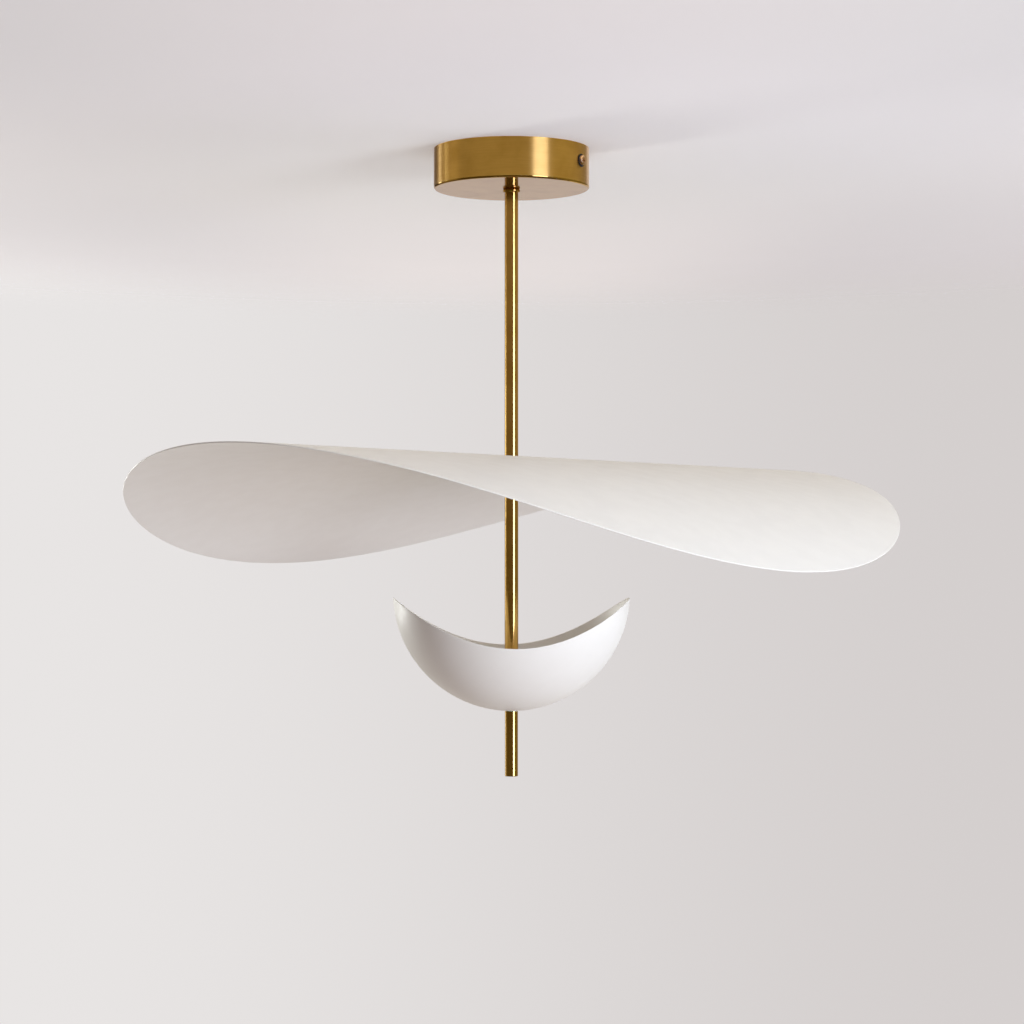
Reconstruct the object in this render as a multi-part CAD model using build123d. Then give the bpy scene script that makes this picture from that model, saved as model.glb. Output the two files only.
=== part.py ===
from build123d import *
import math
import os

# Ceiling pendant light. A round brass canopy holds a slim rod. On the rod hang a large white
# disc, rolled into an arch, and a small white bowl whose rim is cut in a saddle curve. The bowl
# hides a ring of light chips under an opal cover, and a short brass tail ends the rod.
# Origin: the ceiling plane on the axis of the rod. +Z points up into the ceiling, and +X runs
# along the mounting strap. All lengths are in millimetres and all angles in degrees.

# Clearances that the fits are worked out from, and how far a cutting body runs past what it cuts
thread_gap = 0.05
pivot_gap = 0.06
seat_gap = 0.10
loose_gap = 0.30
shell_gap = 0.40
past = 1.0

# Canopy
canopy_d = 120.0
canopy_h = 31.0
canopy_wall = 1.0
canopy_edge_r = 1.6
collar_d = 13.4
collar_h = 2.7
collar_edge_r = 1.2

# Mounting strap, with a slot each side for a ceiling screw and a hole for the supply cable
strap_w = 20.0
strap_t = 2.0
strap_bend_r = 1.0
ear_drop = 20.0
ear_corner_r = 4.0
slot_spacing = 70.0
slot_l = 20.0
slot_w = 5.0
cable_hole_d = 12.0
earth_x = 15.5

# Screws
m4_d = 4.0
m4_head_d = 7.5
m4_head_h = 1.9
m4_side_l = 10.0
m3_d = 3.0
m3_head_d = 5.6
m3_head_h = 1.8
side_screw_drop = 13.1
side_washer_d = 10.0
side_washer_t = 0.5
recess_share = 0.6
recess_w = 0.9

# Rod: tubes joined by hollow threaded nipples
tube_d = 10.5
upper_tube_l = 204.0
middle_tube_l = 161.5
tail_d = 10.0
tail_l = 50.0
tail_edge_r = 0.5
tail_plug_t = 4.0
nipple_d = 8.0
nipple_bore_d = 5.6
nipple_grip = 8.0
nipple_chamfer = 0.4
nut_flats = 13.0
nut_t = 3.0
nut_proud = 2.5
lock_washer_d = 14.0
lock_washer_t = 0.8
lock_washer_teeth = 12
lock_washer_notch = 1.2
friction_washer_d = 10.0
friction_washer_t = 0.5
inner_washer_d = 16.0

# Reflector: a flat disc rolled about one diameter, tighter towards both sides
reflector_d = 600.0
reflector_t = 1.0
hole_off_centre = 4.0
ridge_angle = 74.3
roll_r_middle = 552.0
roll_r_far = 513.0
roll_r_near = 398.0
roll_half_middle = 150.0
outline_points = 48

# Bowl: a sphere cut by a parabola, so that two horns stand up
bowl_r = 91.0
bowl_t = 1.0
bowl_flat_r = 10.0
bowl_angle = 30.3
rim_low_h = 48.6
rim_rise = 37.0
rim_rise_at = 90.0

# Light ring on its turned hub inside the bowl
hub_h = 29.4
hub_foot_r = 9.0
hub_foot_t = 3.0
hub_neck_r = 6.6
hub_flange_r = 13.0
hub_flange_t = 3.0
hub_flange_up = 12.5
hub_boss_r = 7.0
hub_tail_grip = 7.0
hub_chamber_d = 6.6
carrier_r = 40.0
carrier_t = 1.5
board_r = 38.6
board_t = 1.6
board_screw_r = 10.2
board_screws = 3
board_screw_l = 5.5
chip_l = 3.5
chip_w = 2.8
chip_h = 0.7
outer_chip_ring_r = 32.0
outer_chips = 24
inner_chip_ring_r = 21.0
inner_chips = 16
connector_l = 6.0
connector_w = 6.0
connector_h = 4.2
connector_x = 15.5
connector_floor = 0.6
cover_wall = 1.4
cover_side_h = 7.0
cover_dome_rise = 18.5
cover_edge_r = 2.0
cover_hook_l = 9.0
cover_hook_t = 0.8
cover_hooks = 3

# Cables inside the canopy and the rod
lead_d = 2.4
lead_side = 1.4
lead_over = 12.5
wire_d = 2.0
entry_l = 3.0

# Driver box, stuck to the canopy floor by a foam pad
pad_t = 1.0
pad_inset = 2.0
driver_l = 60.0
driver_w = 26.0
driver_h = 18.0
driver_wall = 1.5
driver_x = -3.0
driver_y = 28.0
driver_wire_up = 9.0
driver_lip_h = 2.0
driver_board_t = 1.6
driver_board_up = 4.0
driver_board_edge = 1.0
driver_post_d = 3.2
driver_post_inset = 4.0
transformer = (15.0, 13.0, 10.0)
transformer_x = 7.0
choke = (9.0, 8.0, 8.0)
choke_x = -7.0
choke_y = 3.0
capacitor_d = 8.0
capacitor_l = 13.0
capacitor_x = -12.0
capacitor_y = -5.0

# Terminal block, on its own foam pad, and the earth ring under its screw on the strap
block_l = 30.0
block_w = 18.0
block_h = 15.0
block_y = -37.0
block_pitch = 10.0
block_poles = 3
block_edge_r = 1.0
block_groove_w = 1.4
block_groove_depth = 6.0
insert_d = 5.0
insert_bore_d = 3.2
insert_l = 14.0
insert_up = 7.5
clamp_d = 2.6
clamp_l = 6.0
clamp_spacing = 8.0
clamp_slot = 0.5
grip_l = 7.0
well_d = 3.8
lug_d = 8.0
lug_t = 0.8
lug_neck_l = 1.0
lug_barrel_l = 6.0
lug_barrel_wall = 0.5

# Heights that follow from the sizes above, from the ceiling down
canopy_r = canopy_d / 2
floor_top_z = -canopy_h + canopy_wall
collar_bottom_z = -canopy_h - collar_h
upper_bottom_z = collar_bottom_z - upper_tube_l
sheet_top_z = upper_bottom_z - friction_washer_t - seat_gap
sheet_bottom_z = sheet_top_z - reflector_t
middle_top_z = sheet_bottom_z - seat_gap - friction_washer_t
hub_top_z = middle_top_z - middle_tube_l
hub_bottom_z = hub_top_z - hub_h
bowl_inner_z = hub_bottom_z - friction_washer_t - seat_gap
bowl_bottom_z = bowl_inner_z - bowl_t
tail_top_z = bowl_bottom_z - seat_gap - friction_washer_t
tail_bottom_z = tail_top_z - tail_l
bowl_centre_z = bowl_bottom_z + math.sqrt(bowl_r**2 - bowl_flat_r**2)
nipple_top_z = floor_top_z + lock_washer_t + nut_t + nut_proud
flange_top_z = hub_bottom_z + hub_flange_up
carrier_top_z = flange_top_z + carrier_t
board_top_z = carrier_top_z + board_t
lead_exit_z = board_top_z + connector_floor + thread_gap + lead_d / 2
thread_hole_r = nipple_d / 2 + thread_gap
pivot_hole_r = nipple_d / 2 + pivot_gap

# Where the strap's ears stand, just inside the round wall of the canopy
strap_half_l = math.sqrt((canopy_r - canopy_wall)**2 - (strap_w / 2)**2) - loose_gap

# Driver box and terminal block on their pads
driver_end_x = driver_l / 2
pad_top_z = floor_top_z + pad_t
driver_wire_z = pad_top_z + driver_wire_up
block_face_y = block_y + block_w / 2
insert_z = pad_top_z + insert_up

BOTTOM = (Align.CENTER, Align.CENTER, Align.MIN)
TOP = (Align.CENTER, Align.CENTER, Align.MAX)


def rod(radius, bottom_z, top_z):
    """Round bar on the axis of the rod."""
    return Pos(0, 0, bottom_z) * Cylinder(radius, top_z - bottom_z, align=BOTTOM)


def pipe(outer_r, inner_r, bottom_z, top_z):
    """Round tube or washer on the axis of the rod."""
    return rod(outer_r, bottom_z, top_z) - rod(inner_r, bottom_z - past, top_z + past)


def edges_at(body, height):
    """Edges of a body that lie level at one height."""
    return [edge for edge in body.edges() if abs(edge.bounding_box().min.Z - height) < 1e-4
            and abs(edge.bounding_box().max.Z - height) < 1e-4]


def nipple(bottom_z, top_z):
    """Hollow threaded nipple, drawn plain at its outer thread diameter."""
    body = rod(nipple_d / 2, bottom_z, top_z)
    ends = edges_at(body, bottom_z) + edges_at(body, top_z)
    body = chamfer(ends, nipple_chamfer)
    return body - rod(nipple_bore_d / 2, bottom_z - past, top_z + past)


def pan_screw(shank_d, shank_l, head_d, head_h):
    """Pan-head screw with a cross recess: head above z = 0, shank below."""
    head = Cylinder(head_d / 2, head_h, align=BOTTOM)
    head = fillet(edges_at(head, head_h), head_h * recess_share)
    recess_l = head_d * recess_share
    depth = head_h * recess_share
    for turn in (0, 90):
        cutter = Pos(0, 0, head_h) * Rot(0, 0, turn) * Box(recess_l, recess_w, 2 * depth)
        head -= cutter
    return head + Cylinder(shank_d / 2, shank_l, align=TOP)


def cable(points, diameter):
    """Round cable through hand-chosen points, with the largest arc that each corner allows."""
    corners = [Vector(*point) for point in points]
    radii = []
    for before, corner, after in zip(corners, corners[1:], corners[2:]):
        run_in = corner - before
        run_out = after - corner
        half_turn = math.radians(run_in.get_angle(run_out)) / 2
        radii.append(0.45 * min(run_in.length, run_out.length) / math.tan(half_turn))
    path = FilletPolyline(*corners, radius=radii)
    body = sweep(Plane(origin=path @ 0, z_dir=path % 0) * Circle(diameter / 2), path=path)
    expected = math.pi * diameter**2 / 4 * path.length
    print(f"cable {diameter} mm: length {path.length:.1f}, least radius {min(radii):.1f},",
          f"volume {body.volume / expected:.5f} of section times length")
    return body


def make_canopy():
    """Spun brass cup, open at the ceiling, with a centre hole and two side screw holes."""
    body = rod(canopy_r, -canopy_h, 0)
    body = fillet(edges_at(body, -canopy_h), canopy_edge_r)
    hollow = rod(canopy_r - canopy_wall, floor_top_z, past)
    hollow = fillet(edges_at(hollow, floor_top_z), canopy_edge_r - canopy_wall)
    body -= hollow
    body -= rod(thread_hole_r, -canopy_h - past, 0)
    hole = Pos(0, 0, -side_screw_drop) * Rot(0, 90, 0)
    return body - hole * Cylinder(m4_d / 2 + loose_gap, canopy_d + 2 * past)


def make_strap():
    """Steel strap against the ceiling, its two ears bent down to meet the side screws."""
    top = [(-strap_half_l, -ear_drop), (-strap_half_l, 0), (strap_half_l, 0), (strap_half_l, -ear_drop)]
    inner_l = strap_half_l - strap_t
    under = [(inner_l, -ear_drop), (inner_l, -strap_t), (-inner_l, -strap_t), (-inner_l, -ear_drop)]
    section = Plane.XZ * make_face(Polyline(*top, *under, close=True))
    body = Pos(0, strap_w / 2, 0) * extrude(section, strap_w)
    outside = [edge for edge in body.edges().filter_by(Axis.Y) if edge.center().Z > -0.01]
    body = fillet(outside, strap_bend_r + strap_t)
    inside = [edge for edge in body.edges().filter_by(Axis.Y)
              if abs(edge.center().Z + strap_t) < 0.01 and abs(abs(edge.center().X) - inner_l) < 0.01]
    body = fillet(inside, strap_bend_r)
    corners = [edge for edge in body.edges().filter_by(Axis.X) if edge.center().Z < -ear_drop + 0.01]
    body = fillet(corners, ear_corner_r)
    for side in (-1, 1):
        slot = Pos(side * slot_spacing / 2, 0, 0) * SlotOverall(slot_l, slot_w)
        body -= extrude(slot, 2 * strap_t, both=True)
    body -= Cylinder(cable_hole_d / 2, 4 * strap_t)
    body -= Pos(earth_x, 0, 0) * Cylinder(m4_d / 2 + thread_gap, 4 * strap_t)
    tapped = Pos(0, 0, -side_screw_drop) * Rot(0, 90, 0) * Cylinder(m4_d / 2 + thread_gap, 2 * canopy_r)
    return body - tapped


def at_side_screws(body):
    """Two copies of a body drawn along +Z, pointing out of the canopy at each side screw."""
    placed = []
    for turn in (0, 180):
        placed.append(Rot(0, 0, turn) * Pos(canopy_r, 0, -side_screw_drop) * Rot(0, 90, 0) * body)
    return Compound(placed)


def make_side_screws():
    """The two screws that hold the canopy to the strap's ears."""
    screw = pan_screw(m4_d, m4_side_l, m4_head_d, m4_head_h)
    return at_side_screws(Pos(0, 0, side_washer_t) * screw)


def make_side_washers():
    """Black washers that keep the two screw heads off the brass."""
    disc = Cylinder(side_washer_d / 2, side_washer_t, align=BOTTOM)
    hole = Cylinder(m4_d / 2 + thread_gap, 4 * side_washer_t)
    return at_side_screws(disc - hole)


def make_earth_screw():
    """Earth screw, driven up into the strap through the ring of the earth wire."""
    screw = pan_screw(m4_d, strap_t + lug_t - seat_gap, m4_head_d, m4_head_h)
    return Pos(earth_x, 0, -strap_t - lug_t) * Rot(180, 0, 0) * screw


def make_earth_lug():
    """Ring terminal with a barrel that grips the end of the earth wire."""
    ring = Cylinder(lug_d / 2, lug_t, align=TOP)
    barrel_r = wire_d / 2 + thread_gap + lug_barrel_wall
    barrel_y = -lug_d / 2 - lug_neck_l - lug_barrel_l / 2
    neck_l = lug_d / 4 + lug_neck_l
    neck = Pos(0, -lug_d / 4 - neck_l / 2, 0) * Box(2 * barrel_r, neck_l, lug_t, align=TOP)
    along = Pos(0, barrel_y, -barrel_r) * Rot(90, 0, 0)
    barrel = along * Cylinder(barrel_r, lug_barrel_l)
    body = ring + neck + barrel
    body -= along * Cylinder(wire_d / 2 + thread_gap, lug_barrel_l + 2 * past)
    body -= Cylinder(m4_d / 2 + thread_gap, 4 * lug_t)
    return Pos(earth_x, 0, -strap_t) * body


def make_lock_washer():
    """Toothed washer that bites into the canopy floor under the nut."""
    bottom = floor_top_z
    top = floor_top_z + lock_washer_t
    body = pipe(lock_washer_d / 2, thread_hole_r, bottom, top)
    notch_r = lock_washer_d / 2
    for index in range(lock_washer_teeth):
        turn = Rot(0, 0, index * 360 / lock_washer_teeth)
        notch = Box(2 * lock_washer_notch, lock_washer_notch, 4 * lock_washer_t)
        body -= turn * Pos(notch_r, 0, bottom) * notch
    return body


def make_nut():
    """Hexagon nut that draws the nipple and collar up against the canopy."""
    bottom = floor_top_z + lock_washer_t
    hexagon = RegularPolygon(nut_flats / 2, 6, major_radius=False)
    body = Pos(0, 0, bottom) * extrude(hexagon, nut_t)
    return body - rod(thread_hole_r, bottom - past, bottom + nut_t + past)


def make_collar():
    """Small rounded brass bead between the canopy and the rod."""
    body = rod(collar_d / 2, collar_bottom_z, -canopy_h)
    body = fillet(edges_at(body, collar_bottom_z) + edges_at(body, -canopy_h), collar_edge_r)
    return body - rod(thread_hole_r, collar_bottom_z - past, 0)


def make_tail():
    """Short tube below the bowl, its lower edge rounded."""
    body = rod(tail_d / 2, tail_bottom_z, tail_top_z)
    body = fillet(edges_at(body, tail_bottom_z), tail_edge_r)
    return body - rod(thread_hole_r, tail_bottom_z - past, tail_top_z + past)


def washer_pair(upper_z, upper_d, lower_z):
    """Two nylon friction washers, hung from an upper face and stood on a lower one."""
    upper = pipe(upper_d / 2, thread_hole_r, upper_z - friction_washer_t, upper_z)
    lower = pipe(friction_washer_d / 2, thread_hole_r, lower_z, lower_z + friction_washer_t)
    return Compound([upper, lower])


def rolled(distance):
    """Place and slope of the rolled sheet's top line, a distance from the ridge along the sheet.

    Returns the place across the ridge, the drop below it, and the slope in radians.
    """
    outer_r = roll_r_far if distance > 0 else roll_r_near
    flat = abs(distance)
    inner = min(flat, roll_half_middle)
    slope_inner = inner / roll_r_middle
    slope = slope_inner + (flat - inner) / outer_r
    across = roll_r_middle * math.sin(slope_inner) + outer_r * (math.sin(slope) - math.sin(slope_inner))
    drop = roll_r_middle * (1 - math.cos(slope_inner)) + outer_r * (math.cos(slope_inner) - math.cos(slope))
    sign = 1 if distance > 0 else -1
    return sign * across, drop, sign * slope


def sheet_point(distance, depth):
    """Point of the rolled section, a depth under the sheet's top face."""
    across, drop, slope = rolled(distance)
    return (across - depth * math.sin(slope), sheet_top_z - drop - depth * math.cos(slope))


def sheet_line(stops, depth):
    """The rolled line through the given stops: three tangent arcs."""
    arcs = []
    for start, end in zip(stops, stops[1:]):
        middle = (start + end) / 2
        points = [sheet_point(place, depth) for place in (start, middle, end)]
        arcs.append(ThreePointArc(*points))
    return arcs


def make_reflector():
    """White sheet disc, rolled into an arch and pierced for the rod."""
    disc_r = reflector_d / 2
    reach = disc_r + hole_off_centre + past
    stops = [-reach, -roll_half_middle, roll_half_middle, reach]
    top = sheet_line(stops, 0)
    under = sheet_line(stops, reflector_t)
    ends = [Line(sheet_point(end, 0), sheet_point(end, reflector_t)) for end in (-reach, reach)]
    section = Plane.YZ * make_face(top + under + ends)
    sheet = extrude(section, reach, both=True)
    outline = []
    for index in range(outline_points):
        angle = 2 * math.pi * index / outline_points
        across = rolled(disc_r * math.sin(angle) - hole_off_centre)[0]
        outline.append((disc_r * math.cos(angle), across))
    prism = extrude(make_face(Spline(*outline, periodic=True)), reach)
    body = sheet & (Pos(0, 0, sheet_bottom_z - reach / 2) * prism)
    body -= rod(pivot_hole_r, sheet_bottom_z - past, sheet_top_z + past)
    return Rot(0, 0, ridge_angle) * body


def make_bowl():
    """Spun bowl: a spherical shell with a small flat, its rim cut by a parabola."""
    inner_r = bowl_r - bowl_t
    inner_flat_r = math.sqrt(inner_r**2 - (bowl_centre_z - bowl_inner_z)**2)

    def on_sphere(radius, degrees):
        """Point of the section, an angle down from level."""
        angle = math.radians(degrees)
        return (radius * math.cos(angle), bowl_centre_z - radius * math.sin(angle))

    midway = 45
    outer = ThreePointArc((bowl_flat_r, bowl_bottom_z), on_sphere(bowl_r, midway), on_sphere(bowl_r, 0))
    inner = ThreePointArc((inner_flat_r, bowl_inner_z), on_sphere(inner_r, midway), on_sphere(inner_r, 0))
    rim = Line(outer @ 1, inner @ 1)
    base = Polyline(inner @ 0, (pivot_hole_r, bowl_inner_z), (pivot_hole_r, bowl_bottom_z), outer @ 0)
    shell = revolve(Plane.XZ * make_face([outer, inner, rim, base]), Axis.Z)
    rim_z = bowl_bottom_z + rim_low_h
    half = bowl_r + past
    end_z = rim_z + rim_rise * (half / rim_rise_at)**2
    curve = Bezier((-half, end_z), (0, 2 * rim_z - end_z), (half, end_z))
    roof = Polyline(curve @ 1, (half, end_z + bowl_r), (-half, end_z + bowl_r), curve @ 0)
    above = extrude(Plane.XZ * make_face([curve, roof]), half, both=True)
    return Rot(0, 0, bowl_angle) * (shell - above)


def make_hub():
    """Turned hub: stands on the bowl's washer, carries the light ring and takes the middle tube."""
    foot = rod(hub_foot_r, hub_bottom_z, hub_bottom_z + hub_foot_t)
    neck = rod(hub_neck_r, hub_bottom_z, flange_top_z)
    flange = rod(hub_flange_r, flange_top_z - hub_flange_t, flange_top_z)
    boss = rod(hub_boss_r, flange_top_z, hub_top_z)
    body = foot + neck + flange + boss
    body -= rod(thread_hole_r, hub_bottom_z - past, hub_bottom_z + hub_tail_grip)
    body -= rod(hub_chamber_d / 2, hub_bottom_z, hub_top_z)
    body -= rod(thread_hole_r, hub_top_z - nipple_grip - seat_gap, hub_top_z + past)
    slot_half = lead_d / 2 + loose_gap
    low = Pos(0, 0, lead_exit_z) * Rot(0, 90, 0) * Cylinder(slot_half, 2 * hub_boss_r, align=BOTTOM)
    high = Pos(0, 0, lead_d + 2 * loose_gap) * low
    between = Pos(0, 0, lead_exit_z) * Box(2 * hub_boss_r, 2 * slot_half, lead_d + 2 * loose_gap,
                                           align=(Align.MIN, Align.CENTER, Align.MIN))
    body -= low + high + between
    for place in board_screw_places():
        body -= place * Cylinder(m3_d / 2 + thread_gap, 4 * hub_flange_t)
    return body


def board_screw_places():
    """Places of the screws that hold the light board and carrier down on the hub."""
    places = []
    for index in range(board_screws):
        turn = Rot(0, 0, (index + 0.5) * 360 / board_screws)
        places.append(turn * Pos(board_screw_r, 0, board_top_z))
    return places


def drilled_disc(radius, bottom_z, top_z):
    """Round plate that slips over the hub's boss, with holes for the board screws."""
    body = pipe(radius, hub_boss_r + loose_gap, bottom_z, top_z)
    for place in board_screw_places():
        body -= place * Cylinder(m3_d / 2 + loose_gap, 4 * board_screw_l)
    return body


def make_board_screws():
    """Screws through the light board and carrier into the hub's flange."""
    screw = pan_screw(m3_d, board_screw_l, m3_head_d, m3_head_h)
    return Compound([place * screw for place in board_screw_places()])


def make_chips():
    """Light-emitting chips in two rings on the board."""
    chip = Box(chip_w, chip_l, chip_h, align=BOTTOM)
    chips = []
    for radius, count in ((outer_chip_ring_r, outer_chips), (inner_chip_ring_r, inner_chips)):
        for index in range(count):
            turn = Rot(0, 0, (index + 0.5) * 360 / count)
            chips.append(turn * Pos(radius, 0, board_top_z) * chip)
    return Compound(chips)


def make_connector():
    """Push-in connector on the board, where the lead ends."""
    body = Pos(connector_x, 0, board_top_z) * Box(connector_l, connector_w, connector_h, align=BOTTOM)
    mouth = Rot(0, 90, 0) * Cylinder(lead_d / 2 + thread_gap, connector_l)
    return body - Pos(connector_x - past, 0, lead_exit_z) * mouth


def make_cover():
    """Opal cover: a low dome with a side wall that clips over the carrier's edge."""
    inner_r = carrier_r + shell_gap
    outer_r = inner_r + cover_wall
    side_top_z = carrier_top_z + cover_side_h
    dome_r = (outer_r**2 + cover_dome_rise**2) / (2 * cover_dome_rise)
    dome_centre_z = side_top_z + cover_dome_rise - dome_r
    hook_z = flange_top_z - loose_gap - cover_hook_t
    outside = rod(outer_r, hook_z, side_top_z + cover_dome_rise)
    outside &= Pos(0, 0, dome_centre_z) * Sphere(dome_r)
    outside = fillet(edges_at(outside, side_top_z), cover_edge_r)
    ledge_r = board_r + loose_gap
    inside = rod(ledge_r, carrier_top_z, side_top_z + cover_dome_rise)
    inside &= Pos(0, 0, dome_centre_z) * Sphere(dome_r - cover_wall)
    inside += rod(inner_r, hook_z - past, carrier_top_z)
    body = outside - inside
    body -= rod(tube_d / 2 + loose_gap, hook_z, side_top_z + cover_dome_rise + past)
    for index in range(cover_hooks):
        turn = Rot(0, 0, (index + 0.5) * 360 / cover_hooks)
        block = Pos(carrier_r, 0, hook_z) * Box(4 * cover_wall, cover_hook_l, cover_hook_t, align=BOTTOM)
        ring = pipe(outer_r, carrier_r - loose_gap, hook_z, hook_z + cover_hook_t)
        body += turn * (ring & block)
    return body


def make_pads():
    """Foam pads that stick the driver box and the terminal block to the canopy floor."""
    driver_pad = Box(driver_l - 2 * pad_inset, driver_w - 2 * pad_inset, pad_t, align=BOTTOM)
    block_pad = Box(block_l - 2 * pad_inset, block_w - 2 * pad_inset, pad_t, align=BOTTOM)
    return Compound([Pos(driver_x, driver_y, floor_top_z) * driver_pad,
                     Pos(0, block_y, floor_top_z) * block_pad])


def driver_place():
    """Middle of the driver box's footprint on its pad."""
    return Pos(driver_x, driver_y, pad_top_z)


def make_driver_case():
    """Open plastic box with a cable hole in each end and four posts for its board."""
    tall = driver_h - driver_wall
    body = Box(driver_l, driver_w, tall, align=BOTTOM)
    body = fillet(body.edges().filter_by(Axis.Z), driver_wall)
    room = (driver_l - 2 * driver_wall, driver_w - 2 * driver_wall)
    body -= Pos(0, 0, driver_wall) * Box(*room, tall, align=BOTTOM)
    post = Cylinder(driver_post_d / 2, driver_board_up - driver_wall, align=BOTTOM)
    post_x = room[0] / 2 - driver_post_inset
    post_y = room[1] / 2 - driver_post_inset
    for side_x in (-1, 1):
        for side_y in (-1, 1):
            body += Pos(side_x * post_x, side_y * post_y, driver_wall) * post
    lead_hole = Rot(0, 90, 0) * Cylinder(lead_d / 2 + loose_gap, 4 * driver_wall)
    body -= Pos(driver_end_x, 0, driver_wire_up) * lead_hole
    wire_hole = Rot(0, 90, 0) * Cylinder(wire_d / 2 + loose_gap, 4 * driver_wall)
    for side in (-1, 1):
        body -= Pos(-driver_end_x, side * wire_d, driver_wire_up) * wire_hole
    return driver_place() * body


def make_driver_lid():
    """Lid of the driver box, with a lip that drops inside the case."""
    bottom = driver_h - driver_wall
    body = Pos(0, 0, bottom) * Box(driver_l, driver_w, driver_wall, align=BOTTOM)
    body = fillet(body.edges().filter_by(Axis.Z), driver_wall)
    room = (driver_l - 2 * driver_wall - 2 * seat_gap, driver_w - 2 * driver_wall - 2 * seat_gap)
    lip = Pos(0, 0, bottom) * Box(*room, driver_lip_h, align=TOP)
    lip -= Pos(0, 0, bottom) * Box(room[0] - 2 * driver_wall, room[1] - 2 * driver_wall, 4 * driver_lip_h)
    return driver_place() * (body + lip)


def make_driver_board():
    """Circuit board of the driver with its transformer, choke and capacitor."""
    room_l = driver_l - 2 * driver_wall - 2 * driver_board_edge
    room_w = driver_w - 2 * driver_wall - 2 * driver_board_edge
    body = Pos(0, 0, driver_board_up) * Box(room_l, room_w, driver_board_t, align=BOTTOM)
    top = driver_board_up + driver_board_t
    body += Pos(transformer_x, 0, top) * Box(*transformer, align=BOTTOM)
    body += Pos(choke_x, choke_y, top) * Box(*choke, align=BOTTOM)
    lying = Rot(0, 90, 0) * Cylinder(capacitor_d / 2, capacitor_l)
    body += Pos(capacitor_x, capacitor_y, top + capacitor_d / 2 - seat_gap) * lying
    return driver_place() * body


def pole_places():
    """Distances of the terminal block's poles along X."""
    first = -(block_poles - 1) / 2
    return [(first + index) * block_pitch for index in range(block_poles)]


def make_block():
    """Terminal block: a plastic body with a wire hole for each pole and wells for its screws."""
    body = Box(block_l, block_w, block_h, align=BOTTOM)
    body = fillet(body.edges().filter_by(Axis.Z), block_edge_r)
    for x, x_next in zip(pole_places(), pole_places()[1:]):
        groove = Box(block_groove_w, block_w + 2 * past, 2 * block_groove_depth)
        body -= Pos((x + x_next) / 2, 0, block_h) * groove
    for x in pole_places():
        bore = Rot(90, 0, 0) * Cylinder(insert_d / 2 + thread_gap, block_w + 2 * past)
        body -= Pos(x, 0, insert_up) * bore
        for side in (-1, 1):
            well = Cylinder(well_d / 2, block_h, align=BOTTOM)
            body -= Pos(x, side * clamp_spacing / 2, insert_up) * well
    return Pos(0, block_y, pad_top_z) * body


def make_inserts():
    """Brass tubes of the terminal block, one for each pole."""
    inserts = []
    for x in pole_places():
        tube = Rot(90, 0, 0) * Cylinder(insert_d / 2, insert_l)
        tube -= Rot(90, 0, 0) * Cylinder(insert_bore_d / 2, insert_l + 2 * past)
        for side in (-1, 1):
            hole = Cylinder(clamp_d / 2 + thread_gap, insert_d, align=BOTTOM)
            tube -= Pos(0, side * clamp_spacing / 2, 0) * hole
        inserts.append(Pos(x, block_y, insert_z) * tube)
    return Compound(inserts)


def make_clamps():
    """Small screws that grip the wires in the terminal block."""
    clamp = Cylinder(clamp_d / 2, clamp_l, align=BOTTOM)
    clamp -= Pos(0, 0, clamp_l) * Box(clamp_d + past, clamp_slot, 2 * clamp_slot)
    lift = wire_d / 2 + seat_gap
    clamps = []
    for x in pole_places():
        for side in (-1, 1):
            clamps.append(Pos(x, block_y + side * clamp_spacing / 2, insert_z + lift) * clamp)
    return Compound(clamps)


def make_led_lead():
    """Lead from the driver, round over the nipple, down the whole rod and out to the light board."""
    box_end = driver_x + driver_end_x
    over_z = nipple_top_z + lead_over
    connector_mouth_x = connector_x - connector_l / 2
    points = [
        (box_end - entry_l, driver_y, driver_wire_z),
        (box_end + 11, driver_y, driver_wire_z),
        (box_end + 17, driver_y - 14, driver_wire_z + 1),
        (box_end + 7, driver_y - 25, driver_wire_z + 4),
        (box_end - 10, driver_y - 29, over_z),
        (-lead_side, 0, over_z),
        (-lead_side, 0, lead_exit_z),
        (connector_mouth_x + entry_l, 0, lead_exit_z),
    ]
    return cable(points, lead_d)


def make_live_wire():
    """Brown wire from the driver to the middle pole of the terminal block."""
    box_end = driver_x - driver_end_x
    row_y = driver_y - wire_d
    points = [
        (box_end + entry_l, row_y, driver_wire_z),
        (box_end - 9, row_y, driver_wire_z),
        (box_end - 13, row_y - 13, driver_wire_z - 2),
        (box_end - 3, row_y - 27, driver_wire_z - 3),
        (box_end + 14, row_y - 34, driver_wire_z - 3),
        (box_end + 30, row_y - 40, insert_z),
        (0, block_face_y + 8, insert_z),
        (0, block_face_y - grip_l, insert_z),
    ]
    return cable(points, wire_d)


def make_neutral_wire():
    """Blue wire from the driver to an end pole of the terminal block."""
    box_end = driver_x - driver_end_x
    row_y = driver_y + wire_d
    pole_x = pole_places()[0]
    points = [
        (box_end + entry_l, row_y, driver_wire_z),
        (box_end - 10, row_y, driver_wire_z),
        (box_end - 17, row_y - 15, driver_wire_z - 1),
        (box_end - 11, row_y - 33, driver_wire_z - 2),
        (box_end + 4, row_y - 44, driver_wire_z - 2),
        (pole_x, block_face_y + 12, insert_z),
        (pole_x, block_face_y - grip_l, insert_z),
    ]
    return cable(points, wire_d)


def make_earth_wire():
    """Green and yellow wire from the terminal block up to the ring on the strap."""
    pole_x = pole_places()[-1]
    barrel_z = -strap_t - wire_d / 2 - thread_gap - lug_barrel_wall
    barrel_end_y = -lug_d / 2 - lug_neck_l - lug_barrel_l
    rise_y = (block_face_y + barrel_end_y) / 2
    points = [
        (pole_x, block_face_y - grip_l, insert_z),
        (pole_x, rise_y, insert_z),
        (earth_x, rise_y, barrel_z),
        (earth_x, barrel_end_y + entry_l, barrel_z),
    ]
    return cable(points, wire_d)


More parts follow.
